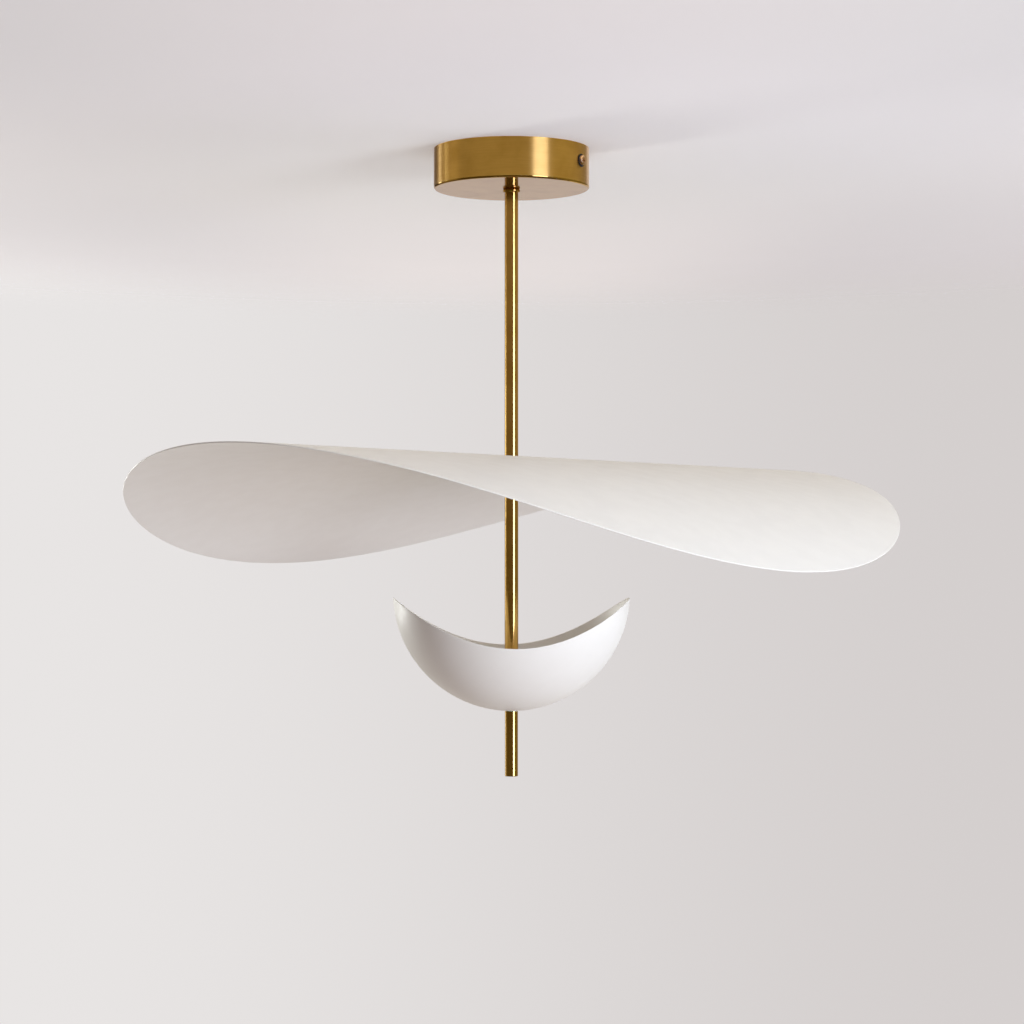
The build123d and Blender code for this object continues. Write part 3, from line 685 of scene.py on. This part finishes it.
@dataclass
class Reflector:
    """White sheet disc, rolled into an arch about one diameter.

    Lengths are in millimetres and angles in degrees.

    Attributes:
        radius: Radius of the flat disc.
        thickness: Thickness of the sheet.
        hole_off_centre: How far the disc's centre lies from the rod.
        hole_radius: Radius of the hole for the rod.
        ridge_angle: Direction of the straight ridge, from +X.
        roll_middle: Rolling radius near the ridge.
        roll_far: Rolling radius beyond the middle on the far side.
        roll_near: Rolling radius beyond the middle on the near side.
        half_middle: Half the width of the middle stretch.
        edge_round: Rounding of the sheet's edges.
        rings: Rings between the hole and the rim.
        segments: Points around each ring.
        face: Shares, from 0 at the hole to 1 at the rim, between which the faces are flat across.
    """

    radius: float = 300.0
    thickness: float = 1.0
    hole_off_centre: float = 4.0
    hole_radius: float = 4.06
    ridge_angle: float = 74.3
    roll_middle: float = 552.0
    roll_far: float = 513.0
    roll_near: float = 398.0
    half_middle: float = 150.0
    edge_round: float = 0.3
    rings: int = 36
    segments: int = 256
    face: tuple[float, float] = (0.001, 0.998)

    def rolled(self, distance: float) -> tuple[float, float, float]:
        """Roll a distance from the ridge.

        Args:
            distance: Distance from the ridge along the sheet.

        Returns:
            The place across the ridge, the drop below it, and the slope in radians.
        """
        outer = self.roll_far if distance > 0 else self.roll_near
        flat = abs(distance)
        inner = min(flat, self.half_middle)
        bend = inner / self.roll_middle
        slope = bend + (flat - inner) / outer
        across = self.roll_middle * math.sin(bend) + outer * (math.sin(slope) - math.sin(bend))
        drop = self.roll_middle * (1 - math.cos(bend)) + outer * (math.cos(bend) - math.cos(slope))
        sign = 1 if distance > 0 else -1
        return sign * across, drop, sign * slope

    def ring(self, share: float, inset: float, depth: float, top: float) -> list[Point]:
        """Make one ring of points on the sheet.

        Args:
            share: 0 at the hole and 1 at the rim.
            inset: Distance that the ring stands back from the hole or rim.
            depth: Depth below the sheet's top face.
            top: Height of the ridge, in metres.

        Returns:
            The points, in metres.
        """
        reach = self.hole_radius + share * (self.radius - self.hole_radius)
        reach += -inset if share > 0.5 else inset
        turn = math.radians(self.ridge_angle)
        points = []
        for step in range(self.segments):
            angle = 2 * math.pi * step / self.segments
            along = reach * math.cos(angle)
            across, drop, slope = self.rolled(reach * math.sin(angle) - share * self.hole_off_centre)
            across -= depth * math.sin(slope)
            height = top - (drop + depth * math.cos(slope)) * MM
            points.append(((along * math.cos(turn) - across * math.sin(turn)) * MM,
                           (along * math.sin(turn) + across * math.cos(turn)) * MM, height))
        return points

    def edge(self, share: float, top: float) -> list[list[Point]]:
        """Round the sheet's edge at the hole or rim, from the top face to the lower one.

        Args:
            share: 0 at the hole and 1 at the rim.
            top: Height of the ridge, in metres.

        Returns:
            The rings of the rounded edge.
        """
        upper = rounding(self.edge_round)
        lower = [(inset, self.thickness - depth) for inset, depth in reversed(upper)]
        return [self.ring(share, inset, depth, top) for inset, depth in upper + lower]

    def build(self) -> None:
        """Model the sheet, which the photograph's brass doesn't mirror, and dress its washers."""
        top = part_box("reflector")[1].z
        first, last = self.face
        shares = [first, *(step / self.rings for step in range(1, self.rings)), last]
        upper = [self.ring(share, 0.0, 0.0, top) for share in shares]
        lower = [self.ring(share, 0.0, self.thickness, top) for share in reversed(shares)]
        rim = self.edge(1.0, top)
        hole = list(reversed(self.edge(0.0, top)))
        piece = skinned("reflector_sheet", upper + rim + lower + hole, sharp_angle=60)
        stand_in(piece, "reflector", Body.REFLECTOR, WHITE_PAINT)
        piece.visible_glossy = False
        dress(NYLON, "reflector_washers")


@dataclass
class Bowl:
    """White spun bowl: a sphere whose rim is cut by a parabola, so that two horns stand up.

    Lengths are in millimetres and angles in degrees. Heights are taken from the bowl's bottom.

    Attributes:
        radius: Outer radius of the sphere.
        thickness: Thickness of the shell.
        flat_radius: Radius of the flat at the bottom.
        flat_ring: Radius of a ring within the flat.
        hole_radius: Radius of the hole for the tail's nipple.
        horn_angle: Direction of one horn, from +X.
        rim_low: Height of the rim's lowest point above the bottom.
        rim_rise: Rise of the parabola at a distance of rim_rise_at.
        rim_rise_at: Distance at which the rise is measured.
        edge_round: Rounding of the rim.
        rings: Rings between the flat and the rim.
        segments: Points around each ring.
    """

    radius: float = 91.0
    thickness: float = 1.0
    flat_radius: float = 10.0
    flat_ring: float = 7.0
    hole_radius: float = 4.06
    horn_angle: float = 30.3
    rim_low: float = 48.6
    rim_rise: float = 37.0
    rim_rise_at: float = 90.0
    edge_round: float = 0.3
    rings: int = 36
    segments: int = 256

    @property
    def inside(self) -> float:
        """Inner radius of the shell."""
        return self.radius - self.thickness

    @property
    def centre(self) -> float:
        """Height of the sphere's centre above the bottom."""
        return math.sqrt(self.radius ** 2 - self.flat_radius ** 2)

    def rim_polar(self, radius: float, angle: float) -> float:
        """Polar angle at which a sphere meets the parabola.

        Args:
            radius: Radius of the sphere.
            angle: Direction around the axis, from a horn, in radians.

        Returns:
            The angle from straight down, in radians.
        """
        up_to_rim = self.centre - self.rim_low
        rise = self.rim_rise * (radius * math.cos(angle) / self.rim_rise_at) ** 2
        if rise < LEVEL_RISE:
            return math.acos(up_to_rim / radius)
        root = math.sqrt(radius ** 2 - 4 * rise * (up_to_rim - rise))
        return math.acos((radius - root) / (2 * rise))

    def arc(self, radius: float, start: float, end: float) -> list[tuple[float, float]]:
        """Section of a sphere between two polar angles.

        Args:
            radius: Radius of the sphere.
            start: Where the section starts, in radians from straight down.
            end: Where it ends.

        Returns:
            The section's points, as reach and height.
        """
        points = []
        for step in range(self.rings + 1):
            polar = start + (end - start) * step / self.rings
            points.append((radius * math.sin(polar), self.centre - radius * math.cos(polar)))
        return points

    def cap(self, outer_rim: float, inner_rim: float) -> list[tuple[float, float]]:
        """Rounded top of the rim, between the outer and the inner face.

        Args:
            outer_rim: Polar angle of the outer edge, in radians.
            inner_rim: Polar angle of the inner edge, in radians.

        Returns:
            The cap's points, as reach and height.
        """
        quarter = rounding(self.edge_round)[1:]
        points = [(outer_rim - back / self.radius, self.radius - depth) for back, depth in quarter]
        points += [(inner_rim - back / self.radius, self.inside + depth) for back, depth in reversed(quarter)]
        return [(radius * math.sin(polar), self.centre - radius * math.cos(polar)) for polar, radius in points]

    def column(self, angle: float, bottom: float) -> list[Point]:
        """Section of the shell in one direction, from the hole out, over the rim and back in.

        Args:
            angle: Direction from a horn, in radians.
            bottom: Height of the bowl's bottom, in metres.

        Returns:
            The section's points, in metres.
        """
        outer_rim, inner_rim = (self.rim_polar(radius, angle) for radius in (self.radius, self.inside))
        trim = self.edge_round / self.radius
        outer = self.arc(self.radius, math.asin(self.flat_radius / self.radius), outer_rim - trim)
        inner = self.arc(self.inside, math.acos((self.centre - self.thickness) / self.inside), inner_rim - trim)
        section = [(self.hole_radius, 0.0), (self.flat_ring, 0.0), *outer, *self.cap(outer_rim, inner_rim),
                   *reversed(inner), (self.flat_ring, self.thickness), (self.hole_radius, self.thickness)]
        turn = angle + math.radians(self.horn_angle)
        return [(reach * math.cos(turn) * MM, reach * math.sin(turn) * MM, bottom + height * MM)
                for reach, height in section]

    def build(self) -> None:
        """Model the shell and dress its washers."""
        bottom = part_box("bowl")[0].z
        columns = [self.column(2 * math.pi * step / self.segments, bottom) for step in range(self.segments)]
        piece = skinned("bowl_shell", list(zip(*columns)), sharp_angle=50)
        stand_in(piece, "bowl", Body.BOWL, WHITE_PAINT)
        dress(NYLON, "bowl_washers")


@dataclass
class LightRing:
    """Light board on its hub and carrier inside the bowl, under the opal cover."""

    def build(self) -> None:
        """Dress the hub, carrier, board, chips, screws, connector and cover."""
        dress(ALUMINIUM, "light_hub", "light_carrier")
        dress(WHITE_BOARD, "light_board")
        dress(PHOSPHOR, "light_chips")
        dress(ZINC_STEEL, "light_board_screws")
        dress(DRIVER_PLASTIC, "board_connector")
        dress(OPAL, "opal_cover")


@dataclass
class Fittings:
    """What the canopy hides: strap, driver, terminal block, wires and lead."""

    def build(self) -> None:
        """Dress every piece inside the canopy."""
        dress(ZINC_STEEL, "mounting_strap", "earth_screw", "terminal_clamp_screws")
        dress(DRIVER_PLASTIC, "driver_case", "driver_lid")
        dress(GREEN_BOARD, "driver_board")
        dress(FOAM, "mounting_pads")
        dress(TERMINAL_PLASTIC, "terminal_block")
        dress(TERMINAL_BRASS, "terminal_inserts")
        dress(TINNED_COPPER, "earth_lug")
        dress(GREEN_WIRE, "earth_wire")
        dress(BROWN_WIRE, "driver_live_wire")
        dress(BLUE_WIRE, "driver_neutral_wire")
        dress(SHEATH, "led_lead")


class Bright(ABC):
    """A bright part of the room."""

    colour: Colour

    @abstractmethod
    def share(self, sketch: Sketch, facing: Socket) -> Socket:
        """How strongly it is seen in a direction.

        Args:
            sketch: Sketch of the world's tree.
            facing: Direction that is looked at.

        Returns:
            The share, 0 to 1.
        """


@dataclass(frozen=True)
class Glow(Bright):
    """Soft glow from one side of the room, in degrees.

    Attributes:
        direction: Its heading.
        elevation: Degrees above level.
        reach: Angle from the middle at which the glow has faded out.
        full: Angle from the middle at which it begins to fade.
        colour: Its brightness and colour.
    """

    direction: float
    elevation: float
    reach: float
    full: float
    colour: Colour

    def share(self, sketch: Sketch, facing: Socket) -> Socket:
        """Fade out around the glow's middle."""
        towards = sketch.along(facing, heading(self.direction, self.elevation))
        return sketch.span(towards, math.cos(math.radians(self.reach)), math.cos(math.radians(self.full)))


@dataclass(frozen=True)
class Pane(Bright):
    """Upright bright pane on one side of the room, in degrees.

    Attributes:
        direction: Its heading.
        half_width: Half its width.
        low: Its lower edge, in degrees above level.
        high: Its upper edge, in degrees above level.
        soft: Width of its soft edges.
        colour: Its brightness and colour.
    """

    direction: float
    half_width: float
    low: float
    high: float
    soft: float
    colour: Colour

    def share(self, sketch: Sketch, facing: Socket) -> Socket:
        """Fade out at the pane's four edges."""
        ahead = sketch.along(facing, heading(self.direction))
        aside = sketch.along(facing, heading(self.direction + 90.0))
        height = sketch.maths("ARCSINE", sketch.along(facing, Vector((0.0, 0.0, 1.0))))
        off = sketch.maths("ABSOLUTE", sketch.maths("ARCTAN2", aside, ahead))
        edges = [(off, self.half_width + self.soft, self.half_width), (height, self.low - self.soft, self.low),
                 (height, self.high + self.soft, self.high)]
        total: object = 1.0
        for value, outside, inside in edges:
            edge = sketch.span(value, math.radians(outside), math.radians(inside))
            total = sketch.maths("MULTIPLY", total, edge)
        return total


@dataclass(frozen=True)
class Lamp:
    """Rectangular soft lamp that stands upright and faces the rod.

    Attributes:
        name: The lamp's name.
        direction: Its heading.
        size: Width and height, in metres.
        power: Power in watts.
        colour: Colour of its light.
        mirrored: Whether metal and gloss reflect it.
        on_brass: Whether it lights the brass.
    """

    name: str
    direction: float
    size: tuple[float, float]
    power: float
    colour: Colour
    mirrored: bool
    on_brass: bool

    def make(self, distance: float, height: float) -> bpy.types.Object:
        """Make the lamp.

        Args:
            distance: Distance from the rod, in metres.
            height: Height of its middle, in metres.

        Returns:
            The lamp, linked to the scene.
        """
        data = bpy.data.lights.new(self.name, "AREA")
        data.shape = "RECTANGLE"
        data.size, data.size_y = self.size
        data.energy = self.power
        data.color = self.colour
        lamp = added(self.name, data)
        away = heading(self.direction) * distance
        lamp.location = away + Vector((0.0, 0.0, height))
        lamp.rotation_euler = (-away).to_track_quat("-Z", "Y").to_euler()
        lamp.visible_glossy = self.mirrored
        return lamp


@dataclass
class Camera:
    """Camera at the photograph's place.

    Attributes:
        distance: Distance from the rod, in metres.
        height: Height, in metres, from the ceiling.
        pitch: How far it looks up, in degrees.
        yaw: How far it looks to the left of the rod, in degrees.
        focal_length: Focal length in millimetres.
        film_width: Width of the film in millimetres.
    """

    distance: float = 1.999
    height: float = -0.338
    pitch: float = 1.655
    yaw: float = -0.012
    focal_length: float = 91.38
    film_width: float = 36.0

    def build(self) -> None:
        """Make the camera and choose the plain view."""
        data = bpy.data.cameras.new("camera")
        data.lens = self.focal_length
        data.sensor_width = self.film_width
        camera = added("camera", data)
        camera.location = heading(0.0) * self.distance + Vector((0.0, 0.0, self.height))
        camera.rotation_euler = (math.radians(90 + self.pitch), 0.0, math.radians(CAMERA_TURN + self.yaw))
        bpy.context.scene.camera = camera
        bpy.context.scene.view_settings.view_transform = "Standard"


@dataclass
class Ceiling:
    """Pale ceiling, seen only from below, which fades out away from the rod.

    Its lift is light that only the camera sees. It matches the photograph's tones and doesn't light the
    object. Lengths are in metres.

    Attributes:
        radius: Where the ceiling has faded out.
        fade: Where it begins to fade.
        gap: Space between the light's top and the ceiling.
        segments: Points around it.
        tones: The paint's two tones.
        painted_side_shade: Painted shade, a darker tone of the paint to the left and right of the camera's
            view.
        middle_lift: Lift in line with the camera, in front of the rod and beyond it.
        side_lift: Lift to the left and right, in front of the rod and beyond it.
        relief: Depth of the plaster's relief.
    """

    radius: float = 1.30
    fade: float = 0.70
    gap: float = 0.0002
    segments: int = 96
    tones: tuple[Colour, Colour] = ((0.852, 0.840, 0.838), (0.866, 0.854, 0.852))
    painted_side_shade: Colour = (0.790, 0.785, 0.790)
    middle_lift: tuple[Colour, Colour] = ((0.030, 0.028, 0.052), (0.105, 0.105, 0.122))
    side_lift: tuple[Colour, Colour] = ((0.0, 0.010, 0.030), (0.055, 0.060, 0.085))
    relief: float = 0.10 * MM

    def build(self) -> None:
        """Make the ceiling as a stage piece."""
        points = []
        for step in reversed(range(self.segments)):
            angle = 2 * math.pi * step / self.segments
            points.append((math.cos(angle) * self.radius, math.sin(angle) * self.radius, self.gap))
        mesh = bpy.data.meshes.new("ceiling")
        mesh.from_pydata(points, [], [tuple(range(self.segments))])
        ceiling = added("ceiling", mesh)
        ceiling.visible_glossy = False
        mesh.materials.append(self.plaster())

    def plaster(self) -> bpy.types.Material:
        """The ceiling's material, which is clear from above and where it has faded out."""
        material = bpy.data.materials.new("ceiling_plaster")
        material.use_nodes = True
        sketch = Sketch(material.node_tree)
        paint = material.node_tree.nodes["Principled BSDF"]
        place = sketch.place()
        aside = sketch.maths("ABSOLUTE", sketch.along(place, heading(-90.0)))
        even = sketch.blend(sketch.span(sketch.noise(place, 3.0, 3.0), 0.3, 0.7), *self.tones)
        beyond = sketch.span(sketch.along(place, heading(180.0)), -0.60, 0.05)
        middle, sides = (sketch.blend(beyond, *lift) for lift in (self.middle_lift, self.side_lift))
        sketch.put(paint, {
            # painted shade: the paint darkens towards the left and right of the camera's view
            "Base Color": sketch.blend(sketch.span(aside, 0.05, 0.40), even, self.painted_side_shade),
            "Roughness": 0.9,
            "Emission Color": sketch.blend(sketch.span(aside, 0.06, 0.36), middle, sides),
            "Emission Strength": sketch.add("LightPath", {}, "Is Camera Ray"),
            "Normal": sketch.bump(sketch.noise(place, 40.0, 4.0), self.relief),
        })
        length = sketch.add("VectorMath", {0: place}, "Value", operation="LENGTH")
        faded = sketch.span(length, self.fade, self.radius)
        hidden = sketch.maths("MAXIMUM", faded, sketch.add("NewGeometry", {}, "Backfacing"))
        surface = sketch.mixed(hidden, paint.outputs[0], sketch.add("BsdfTransparent", {}))
        sketch.put(material.node_tree.nodes["Material Output"], {"Surface": surface})
        return material


@dataclass
class Lamps:
    """Window-like lamp on the right and two weak ones.

    The brass mirrors the room's panes instead of the lamps. The back lamp gives the white paint its sheen.

    Attributes:
        lamps: The lamps.
        distance: Their distance from the rod, in metres.
        height: Height of their middles, in metres.
        brass_nodes: Solids that count as the brass.
    """

    lamps: tuple[Lamp, ...] = (
        Lamp("window", 43.5, (0.75, 0.80), 43.0, (0.870, 0.935, 1.0), mirrored=False, on_brass=True),
        Lamp("side_fill", 110.0, (0.75, 0.80), 10.2, (0.88, 0.88, 1.0), mirrored=False, on_brass=True),
        Lamp("back_strip", -135.0, (0.40, 0.70), 22.6, (0.98, 1.0, 0.96), mirrored=True, on_brass=False),
    )
    distance: float = 2.2
    height: float = -0.40
    brass_nodes: tuple[str, ...] = (
        "canopy", "canopy_collar", "upper_tube", "middle_tube", "tail_tube", "tail_plug",
    )

    def build(self) -> None:
        """Make the lamps, and keep the brass out of the light of those that leave it out."""
        brass = bpy.data.collections.new("not_lit_from_behind")
        for node in self.brass_nodes:
            brass.objects.link(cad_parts[node])
        for member in brass.collection_objects:
            member.light_linking.link_state = "EXCLUDE"
        for lamp in self.lamps:
            light = lamp.make(self.distance, self.height)
            if not lamp.on_brass:
                light.light_linking.receiver_collection = brass


@dataclass
class Room:
    """World: a pale wall to the camera, with painted shade darkening it to the right, and a soft room to
    everything else.

    Attributes:
        lit: Glows that light the object.
        mirrored_dark: What metal and gloss reflect where no glow reaches.
        mirrored: Glows and panes that metal and gloss reflect.
        wall: Colours of the wall at the left and right of the view; the darker right is painted shade.
    """

    lit: tuple[Glow, ...] = (
        Glow(0.0, -50.0, 60.0, 5.0, (0.86, 0.73, 0.70)),
        Glow(90.0, -50.0, 60.0, 5.0, (0.10, 0.12, 0.18)),
        Glow(180.0, -50.0, 60.0, 5.0, (0.81, 0.72, 0.58)),
    )
    mirrored_dark: Colour = (0.085, 0.065, 0.020)
    mirrored: tuple[Bright, ...] = (
        Glow(0.0, 90.0, 85.0, 50.0, (0.72, 0.65, 0.47)),
        Glow(0.0, 90.0, 89.0, 86.0, (0.12, 0.09, 0.08)),
        Pane(43.5, 10.3, -14.0, 7.0, 2.0, (5.0, 5.6, 9.0)),
        Pane(-112.0, 2.4, 2.8, 5.4, 1.5, (4.2, 4.7, 5.2)),
        Pane(-131.0, 3.2, -8.0, 4.0, 2.0, (2.7, 3.0, 3.6)),
        Pane(-114.0, 24.0, -30.0, 30.0, 6.0, (0.16, 0.14, 0.09)),
        Pane(112.0, 48.0, -40.0, 40.0, 8.0, (0.12, 0.11, 0.05)),
        Pane(173.0, 20.0, -40.0, 40.0, 7.0, (0.61, 0.60, 0.59)),
    )
    wall: tuple[Colour, Colour] = ((0.806952, 0.783538, 0.775822), (0.658375, 0.62396, 0.617207))

    def summed(self, sketch: Sketch, facing: Socket, dark: Colour, parts: Sequence[Bright]) -> Socket:
        """Add up glows and panes that each lie on one side of the room.

        Args:
            sketch: Sketch of the world's tree.
            facing: Direction that is looked at.
            dark: Colour where no glow reaches.
            parts: The glows and panes.

        Returns:
            The summed colour.
        """
        total: object = dark
        for part in parts:
            layer = sketch.blend(part.share(sketch, facing), BLACK, part.colour)
            total = sketch.blend(1.0, total, layer, "ADD")
        return total

    def build(self) -> None:
        """Make the world."""
        world = bpy.data.worlds.new("pale_room")
        world.use_nodes = True
        bpy.context.scene.world = world
        world.node_tree.nodes.remove(world.node_tree.nodes["Background"])
        sketch = Sketch(world.node_tree)
        facing = sketch.add("TexCoord", {}, "Generated")
        path = sketch.add("LightPath", {}).node.outputs
        across = sketch.span(sketch.along(facing, heading(90.0)), -0.20, 0.20)
        lit, mirrored, seen = (sketch.add("Background", {"Color": colour}) for colour in (
            self.summed(sketch, facing, BLACK, self.lit),
            self.summed(sketch, facing, self.mirrored_dark, self.mirrored),
            # painted shade: the wall darkens from the left of the view to the right
            sketch.blend(across, *self.wall),
        ))
        unseen = sketch.mixed(path["Is Glossy Ray"], lit, mirrored)
        shown = sketch.maths("MAXIMUM", path["Is Camera Ray"], path["Is Transmission Ray"])
        sketch.put(world.node_tree.nodes["World Output"], {"Surface": sketch.mixed(shown, unseen, seen)})


def main() -> None:
    """Build the studio and every sub-assembly."""
    logging.basicConfig(level=logging.INFO, format="%(name)s: %(message)s")
    studio = (Camera(), Ceiling(), Lamps(), Room())
    for section in (*studio, Canopy(), Rod(), Reflector(), Bowl(), LightRing(), Fittings()):
        LOG.info("building %s", type(section).__name__)
        section.build()


if __name__ == "__main__":
    main()
